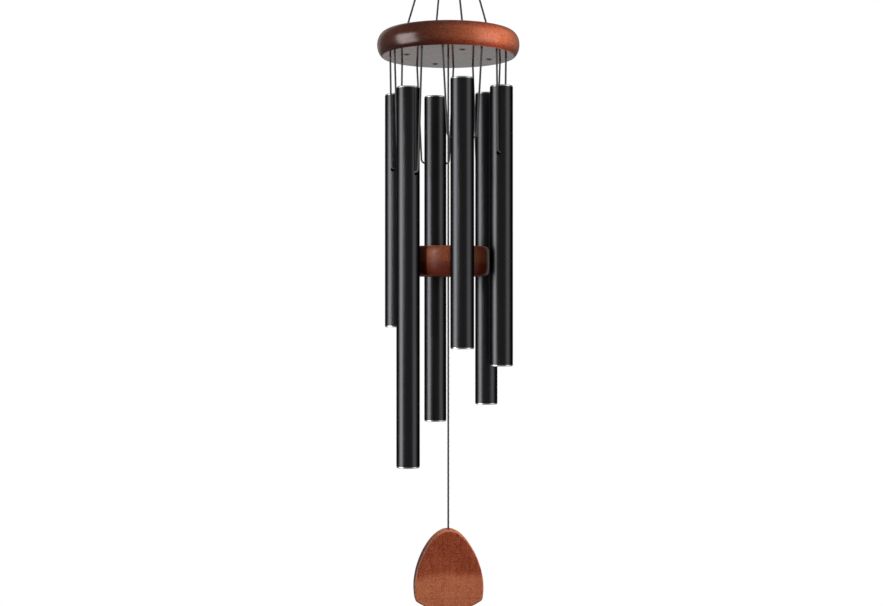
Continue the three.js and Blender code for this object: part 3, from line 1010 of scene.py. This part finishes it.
class CHIME_OT_tube_cords(bpy.types.Operator):
    """Add the six tube cords, each down one side, through the tube and up to its second knot"""

    bl_idname = "chime.tube_cords"
    bl_label = "Tube Cords"

    def execute(self, context):
        for number in range(1, TUBE_COUNT + 1):
            self.add_tube_cord(number)
        return {"FINISHED"}

    def add_tube_cord(self, number):
        """One tube's cord, with the knots at both its ends."""
        size = sizes()
        thick = size.cord_diameter / 2
        knots = [f"tube_knot_{number}{end}" for end in "ab"]
        holes = [middle_of(knot).xy for knot in knots]
        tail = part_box(knots[0])[1].z
        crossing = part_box(f"tube_cord_{number}")[0].z + thick
        axis = middle_of(f"tube_{number}").xy
        along = (holes[1] - holes[0]).normalized()
        corner = (size.tube_diameter - size.tube_wall) / 2 + size.cord_bend
        route = spaced(filleted([
            (*holes[0], tail),
            (*holes[0], DISC_LOW.z),
            (*(axis - along * corner), crossing),
            (*(axis + along * corner), crossing),
            (*holes[1], DISC_LOW.z),
            (*holes[1], tail),
        ], size.cord_bend))
        strands = Strands()
        strands.add_cord(route)
        for knot, hole in zip(knots, holes):
            strands.add_knot(hole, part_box(knot)[1].z - size.knot_height)
        piece = strands.piece(f"cord_tube_{number}", finish_of(black_cord))
        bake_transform(piece)
        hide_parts(f"tube_cord_{number}", *knots)
        declare_cord(route)


class CHIME_OT_middle_cords(bpy.types.Operator):
    """Add the cord from the disc to the striker and the one from the striker to the sail, with their knots"""

    bl_idname = "chime.middle_cords"
    bl_label = "Middle Cords"

    def execute(self, context):
        size = sizes()
        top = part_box("striker_top_knot")[1].z
        leave_disc = DISC_LOW.z + CORD_LAP * size.cord_diameter
        enter_striker = STRIKER_HIGH.z - CORD_LAP * size.cord_diameter
        leave_striker = SAIL_KNOT_FOOT + size.cord_diameter
        socket_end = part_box("sail_cord")[0].z
        disc_knot = self.knotted_cord("knot_disc", top, leave_disc, top - size.knot_height)
        hang(disc_knot, "canopy", "striker_top_knot")
        self.add_bending_cord("cord_striker", "striker", leave_disc, enter_striker)
        striker_knot = self.knotted_cord("knot_striker", enter_striker, leave_striker, SAIL_KNOT_FOOT)
        hang(striker_knot, "striker_body", "striker_knot")
        self.add_bending_cord("cord_sail", "sail", leave_striker, socket_end)
        return {"FINISHED"}

    def knotted_cord(self, name, top, foot, knot_foot):
        """A short cord inside a wooden piece, with its stopper knot."""
        strands = Strands()
        strands.add_cord(self.plumb(top, foot))
        strands.add_knot((0, 0), knot_foot)
        return strands.piece(name, finish_of(black_cord))

    def plumb(self, top, foot):
        """An upright route on the middle line."""
        return spaced([(0, 0, top), (0, 0, foot)])

    def add_bending_cord(self, name, end, top, foot):
        """A straight upright cord between two heights."""
        route = self.plumb(top, foot)
        strands = Strands()
        strands.add_cord(route)
        piece = strands.piece(name, finish_of(black_cord))
        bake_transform(piece)
        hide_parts(f"{end}_cord_top", f"{end}_cord")
        declare_cord(route)


class CHIME_OT_hanging_ring(bpy.types.Operator):
    """Add the steel ring that a hook carries"""

    bl_idname = "chime.hanging_ring"
    bl_label = "Hanging Ring"

    def execute(self, context):
        wire = sizes().ring_wire
        middle = (RING_LOW + RING_HIGH) / 2
        radius = (RING_HIGH.x - RING_LOW.x - wire) / 2
        turns = [2 * math.pi * i / TUBE_SIDES for i in range(TUBE_SIDES)]
        route = [(radius * math.cos(a), 0, middle.z + radius * math.sin(a)) for a in turns]
        strands = Strands()
        strands.add(route, wire / 2, sides=WIRE_SIDES, closed=True)
        piece = strands.piece("ring_steel", finish_of(ring_steel))
        hang(piece, "ring", "hanging_ring", slot="steel_ring")
        return {"FINISHED"}


class CHIME_OT_cord_loop(bpy.types.Operator):
    """Add the loop of doubled cord through the ring, two strands twisted together"""

    bl_idname = "chime.cord_loop"
    bl_label = "Cord Loop"

    def execute(self, context):
        cord = sizes().loop_cord
        middle = (LOOP_LOW + LOOP_HIGH) / 2
        radius = (LOOP_HIGH.z - LOOP_LOW.z - cord) / 2
        strand = cord / 4
        count = 2 * TUBE_SIDES
        strands = Strands()
        for start in (0, math.pi):
            route = []
            for i in range(count):
                turn = 2 * math.pi * i / count
                twist = LOOP_TWISTS * turn + start
                reach = radius + strand * math.cos(twist)
                height = middle.z + reach * math.sin(turn)
                route.append((strand * math.sin(twist), reach * math.cos(turn), height))
            strands.add(route, strand, closed=True)
        hang(strands.piece("loop_cord", finish_of(black_cord)), "loop", "hanger_loop")
        return {"FINISHED"}


class CHIME_OT_gathering_knot(bpy.types.Operator):
    """Add the gathering knot: the hanger cords folded over the loop, with a cord wound round them"""

    bl_idname = "chime.gathering_knot"
    bl_label = "Gathering Knot"

    def execute(self, context):
        size = sizes()
        thick = size.cord_diameter / 2
        fold = LOOP_LOW.z + size.loop_cord / 2 + LOOP_CURVE
        strands = Strands()
        for side in (-thick, thick):
            strands.add_cord(self.fold_over(side, fold, size.loop_cord / 2 + thick))
        wound_top = LOOP_LOW.z - WINDING_DROP * size.cord_diameter
        strands.add_cord(self.winding(GATHER_LOW.z + thick, wound_top, GATHER_HIGH.x - thick))
        hang(strands.piece("knot_gathering", finish_of(black_cord)), "canopy", "gather_knot")
        return {"FINISHED"}

    def fold_over(self, side, middle, reach):
        """A cord up out of the winding, over the loop and down again."""
        foot = GATHER_LOW.z + GATHER_TUCK
        thick = sizes().cord_diameter / 2
        over = [math.pi * i / ARC_STEPS for i in range(ARC_STEPS + 1)]
        bend = [(reach * math.cos(a), side, middle + reach * math.sin(a)) for a in over]
        return spaced([(thick, side, foot), *bend, (-thick, side, foot)])

    def winding(self, foot, top, radius):
        """A cord wound up in close turns."""
        rise = WINDING_RISE * sizes().cord_diameter
        count = int(HOLE_SIDES * (top - foot) / rise)
        turns = [2 * math.pi * i / HOLE_SIDES for i in range(count + 1)]
        return spaced([(*around(a, radius), foot + rise * a / (2 * math.pi)) for a in turns])


def hole_mouth(face, inward, pocket_end):
    """Half a cord hole's profile, from outside one face to the bore or to the end of a knot's pocket."""
    size = sizes()
    bore, arris = size.hole_diameter / 2, size.hole_arris
    wide = bore if pocket_end is None else size.knot_diameter / 2 + KNOT_ROOM
    outside = face - inward * OVERCUT
    mouth = [(0, outside), (wide + arris, outside), (wide + arris, face), (wide, face + inward * arris)]
    if pocket_end is not None:
        mouth += [(wide, pocket_end), (bore, pocket_end)]
    return mouth


def cord_hole(centre, foot, top, knot_foot=None, knot_top=None):
    """A cutter for a cord hole with broken edges, and with a pocket for a knot low in it or at its top."""
    deep = sizes().knot_height + KNOT_SEAT
    lower = hole_mouth(foot, 1, None if knot_foot is None else knot_foot + deep)
    upper = hole_mouth(top, -1, None if knot_top is None else knot_top - deep)
    return turned(lower + upper[::-1], HOLE_SIDES, centre)


class CHIME_OT_top_disc(bpy.types.Operator):
    """Add the turned wooden disc with its holes for the cords"""

    bl_idname = "chime.top_disc"
    bl_label = "Top Disc"

    def execute(self, context):
        size = sizes()
        foot, top = DISC_LOW.z, DISC_HIGH.z
        radius = DISC_HIGH.x
        belly = foot + size.disc_belly
        keel = size.disc_belly / math.sin(size.disc_arris * math.pi / 2)
        low_reach, top_reach = size.disc_bottom_reach, size.disc_top_reach
        lower = arc((radius - low_reach, belly), (low_reach, keel), -size.disc_arris, 0)
        upper = arc((radius - top_reach, belly), (top_reach, top - belly), 0, 1)
        edge = lower[0][0]
        profile = [(0, foot), (edge - DISC_RUB, foot), *lower, *upper[1:], (0, top)]
        finishes = (finish_of(disc_wood), finish_of(disc_underside))
        piece = add_piece("disc_wood", *turned(profile, DISC_SIDES), *finishes)
        cut(piece, *merged(self.holes(foot, top)))
        for face in piece.data.polygons:
            face.material_index = int(face.center.z < foot + ON_FLAT)

        def rubbed(place):
            return float(place.z < foot + ON_EDGE and place.xy.length > edge - ON_EDGE)

        mark(piece, "wear", rubbed)
        keep_edges(piece)
        hang(piece, "canopy", "top_disc", slot="lacquered_wood")
        return {"FINISHED"}

    def holes(self, foot, top):
        """The cutters for the middle cord, the tube cords and the hanger cords."""
        size = sizes()
        cutters = [cord_hole((0, 0), foot, top, knot_top=top)]
        for number in range(1, TUBE_COUNT + 1):
            centres = [middle_of(f"tube_knot_{number}{end}").xy for end in "ab"]
            cutters += [cord_hole(centre, foot, top, knot_top=top) for centre in centres]
        for angle in hanger_angles():
            centre = around(angle, size.hanger_circle / 2)
            cutters.append(cord_hole(centre, foot, top, knot_foot=HANGER_KNOT_FOOT))
        return cutters


class CHIME_OT_tubes(bpy.types.Operator):
    """Add the six black tubes with their chamfered ends and cross holes"""

    bl_idname = "chime.tubes"
    bl_label = "Tubes"

    def execute(self, context):
        finishes = [finish_of(make) for make in (black_coat, worn_edge, dark_bore)]
        for number in range(1, TUBE_COUNT + 1):
            self.add_tube(number, finishes)
        return {"FINISHED"}

    def add_tube(self, number, finishes):
        """One tube, with its cross hole along the line between its two cord holes."""
        size = sizes()
        low, high = (corner.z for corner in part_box(f"tube_{number}"))
        axis = middle_of(f"tube_{number}").xy
        outer = size.tube_diameter / 2
        inner = outer - size.tube_wall
        rim = outer - size.tube_chamfer
        lip = inner + TUBE_BURR
        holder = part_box(f"tube_cord_{number}")[0].z + size.cord_diameter
        hole = holder + TUBE_GAP - size.tube_hole / 2
        band = TUBE_BAND * size.tube_hole
        low_edge, high_edge = low + size.tube_chamfer_height, high - size.tube_chamfer_height
        profile = [(rim, low)]
        profile += [(outer, height) for height in (low_edge, hole - band, hole + band, high_edge)]
        profile += [(rim, high), (lip, high), (inner, high - TUBE_BURR)]
        profile += [(inner, hole + band), (inner, hole - band), (inner, low + TUBE_BURR), (lip, low)]
        piece = add_piece(f"tube_black_{number}", *turned(profile, TUBE_SIDES, axis), *finishes)
        along = (middle_of(f"tube_knot_{number}b") - middle_of(f"tube_knot_{number}a")).normalized()
        self.cut_cross_hole(piece, Vector((*axis, hole)), along)
        worn, bore = (finishes.index(finish_of(make)) for make in (worn_edge, dark_bore))
        for face in piece.data.polygons:
            reach = (face.center.xy - axis).length
            at_end = not low_edge < face.center.z < high_edge
            if at_end and reach > inner + TUBE_BURR / 2:
                face.material_index = worn
            elif reach < outer - TUBE_BURR:
                face.material_index = bore
        keep_edges(piece)
        hang(piece, f"tube_{number}_body", f"tube_{number}", slot="black_tube")
        leave_out(piece, GLOSS_BLOCKERS)

    def cut_cross_hole(self, piece, middle, along):
        """The hole through both walls."""
        size = sizes()
        reach = size.tube_diameter / 2 + OVERCUT
        radius = size.tube_hole / 2
        points, faces = turned([(0, -reach), (radius, -reach), (radius, reach), (0, reach)], HOLE_SIDES)
        across = along.cross(Vector((0, 0, 1)))
        laid = [middle + across * x + Vector((0, 0, y)) + along * z for x, y, z in points]
        cut(piece, laid, [tuple(reversed(face)) for face in faces])


class CHIME_OT_striker(bpy.types.Operator):
    """Add the striker, a thick wooden disc with swelling sides"""

    bl_idname = "chime.striker"
    bl_label = "Striker"

    def execute(self, context):
        size = sizes()
        foot, top = STRIKER_LOW.z, STRIKER_HIGH.z
        half = (top - foot) / 2
        steps = 2 * ARC_STEPS
        side = []
        for i in range(-steps, steps + 1):
            height = math.sin(math.pi / 2 * i / steps)
            reach = size.striker_bottom_round if i < 0 else size.striker_top_round
            swell = (1 - abs(height) ** size.striker_swell) ** (1 / size.striker_swell)
            side.append((STRIKER_HIGH.x - reach * (1 - swell), foot + half + half * height))
        profile = [(0, foot), *side, (0, top)]
        piece = add_piece("striker_wood", *turned(profile, DISC_SIDES), finish_of(striker_wood))
        cut(piece, *cord_hole((0, 0), foot, top, knot_foot=SAIL_KNOT_FOOT))

        # Paler worn edges at the top and the foot; on the top edge they also stand as a painted highlight.
        def rubbed(place):
            height = abs(place.z - foot - half)
            return STRIKER_WEAR_AND_HIGHLIGHT * (STRIKER_SHOULDER * half < height < half - ON_FLAT)

        mark(piece, "wear", rubbed)
        keep_edges(piece)
        hang(piece, "striker_body", "striker", slot="lacquered_wood")
        leave_out(piece, GLOSS_RECEIVERS)
        return {"FINISHED"}


def bezier(points, steps=ARC_STEPS):
    """Points of a curve with those control points, without the last one."""
    points = np.array(points)
    degree = len(points) - 1
    curve = []
    for i in range(steps):
        t = i / steps
        weights = [math.comb(degree, k) * t**k * (1 - t) ** (degree - k) for k in range(degree + 1)]
        curve.append(tuple(np.dot(weights, points)))
    return curve


class CHIME_OT_sail(bpy.types.Operator):
    """Add the wind sail, a wooden board with softened edges"""

    bl_idname = "chime.sail"
    bl_label = "Wind Sail"

    def execute(self, context):
        size = sizes()
        half = size.sail_thickness / 2
        piece = add_piece("sail_wood", *self.board(half, size.sail_edge), finish_of(sail_wood))

        # Paler worn edges, strongest at the top and fading downwards, which also stand as a painted highlight
        # along the top arris.
        def rubbed(place):
            soft = half - SAIL_WORN * size.sail_edge < abs(place.y) < half - ON_FLAT
            return soft * SAIL_WEAR_AND_HIGHLIGHT * max(0.0, 1 + place.z / SAIL_WEAR_AND_HIGHLIGHT_REACH)

        mark(piece, "wear", rubbed)
        mark(piece, "end_grain", lambda place: float(abs(place.y) < half - SAIL_END_GRAIN * size.sail_edge))
        cos, sin = math.cos(size.sail_turn), math.sin(size.sail_turn)
        for point in piece.data.vertices:
            x, y, z = point.co
            point.co = (cos * x - sin * y, sin * x + cos * y, SAIL_HIGH.z + z)
        turn_outward(piece)
        cut(piece, *self.socket())
        keep_edges(piece)
        hang(piece, "sail_body", "sail", slot="lacquered_wood")
        return {"FINISHED"}

    def board(self, half, edge):
        """Points and faces of the board, in rings from its front round the softened edges to its back."""
        outline = np.array(self.outline())
        outward = np.roll(outline, -1, 0) - np.roll(outline, 1, 0)
        outward = np.column_stack([-outward[:, 1], outward[:, 0]])
        outward /= np.linalg.norm(outward, axis=1)[:, None]
        turns = [math.pi / 2 * i / BEND_STEPS for i in range(BEND_STEPS + 1)]
        front = [(edge * (1 - math.cos(a)), -half + edge * (1 - math.sin(a))) for a in turns]
        rings = [(SAIL_INSET * edge, -half), *reversed(front)]
        rings += [(inset, -depth) for inset, depth in reversed(rings)]
        count = len(outline)
        points, faces = [], []
        for inset, depth in rings:
            points += [(x, depth, z) for x, z in outline - inset * outward]
        for ring in range(len(rings) - 1):
            low, high = count * ring, count * (ring + 1)
            for i in range(count):
                j = (i + 1) % count
                faces.append((low + i, low + j, high + j, high + i))
        faces.append(tuple(reversed(range(count))))
        faces.append(tuple(len(points) - count + i for i in range(count)))
        return points, faces

    def outline(self):
        """The outline round from the middle of the top, with the top at zero."""
        size = sizes()
        half = size.sail_width / 2
        height = SAIL_HIGH.z - SAIL_LOW.z
        corner = height - size.sail_bulge
        widest = corner - size.sail_side
        corner_out = half - size.sail_tuck
        corner_in = corner_out - size.sail_corner
        corner_up = corner - size.sail_corner
        corner_foot = height - size.sail_bulge * (corner_in / corner_out) ** 2
        tuck = (widest + corner_up) / 2
        flank = widest - size.sail_flank
        right = bezier([(0, 0), (size.sail_crown, 0), (half, -flank), (half, -widest)], 2 * ARC_STEPS)
        right += bezier([(half, -widest), (half, -tuck), (corner_out, -corner_up)], BEND_STEPS)
        right += bezier([(corner_out, -corner_up), (corner_out, -corner), (corner_in, -corner_foot)])
        right += bezier([(corner_in, -corner_foot), (corner_in / 2, -height), (0, -height)], 2 * ARC_STEPS)
        left = [(-x, z) for x, z in reversed(right[1:])]
        return right + [(0, -height)] + left

    def socket(self):
        """The cutter for the cord's hole in the top edge."""
        size = sizes()
        radius, arris = size.hole_diameter / 2, size.hole_arris
        top = SAIL_HIGH.z
        foot = top - size.sail_socket
        profile = [(0, foot), (radius, foot), (radius, top - arris), (radius + arris, top)]
        return turned(profile + [(radius + arris, top + OVERCUT), (0, top + OVERCUT)], HOLE_SIDES)


OPERATORS = (
    CHIME_OT_stage,
    CHIME_OT_hanger_cords,
    CHIME_OT_tube_cords,
    CHIME_OT_middle_cords,
    CHIME_OT_hanging_ring,
    CHIME_OT_cord_loop,
    CHIME_OT_gathering_knot,
    CHIME_OT_top_disc,
    CHIME_OT_tubes,
    CHIME_OT_striker,
    CHIME_OT_sail,
)


class CHIME_PT_panel(bpy.types.Panel):
    """The chime's pieces, sizes and colours"""

    bl_idname = "CHIME_PT_panel"
    bl_label = "Wind Chime"
    bl_space_type = "VIEW_3D"
    bl_region_type = "UI"
    bl_category = "Wind Chime"

    def draw(self, context):
        for operator in OPERATORS:
            self.layout.operator(operator.bl_idname)
        for group in ("chime_stage", "chime_sizes", "chime_colours"):
            settings = getattr(context.scene, group)
            box = self.layout.box()
            for name in settings.__annotations__:
                box.prop(settings, name)


CLASSES = (ChimeSizes, ChimeColours, ChimeStage, *OPERATORS, CHIME_PT_panel)


def register():
    """Registers the classes and adds their settings to the scene."""
    for kind in CLASSES:
        bpy.utils.register_class(kind)
    bpy.types.Scene.chime_sizes = PointerProperty(type=ChimeSizes)
    bpy.types.Scene.chime_colours = PointerProperty(type=ChimeColours)
    bpy.types.Scene.chime_stage = PointerProperty(type=ChimeStage)


def unregister():
    """Takes the settings off the scene and unregisters the classes."""
    del bpy.types.Scene.chime_stage
    del bpy.types.Scene.chime_colours
    del bpy.types.Scene.chime_sizes
    for kind in reversed(CLASSES):
        bpy.utils.unregister_class(kind)


def main():
    """Builds the chime piece by piece."""
    register()
    bpy.ops.chime.stage()
    bpy.ops.chime.hanger_cords()
    bpy.ops.chime.tube_cords()
    bpy.ops.chime.middle_cords()
    bpy.ops.chime.hanging_ring()
    bpy.ops.chime.cord_loop()
    bpy.ops.chime.gathering_knot()
    bpy.ops.chime.top_disc()
    bpy.ops.chime.tubes()
    bpy.ops.chime.striker()
    bpy.ops.chime.sail()


if __name__ == "__main__":
    main()
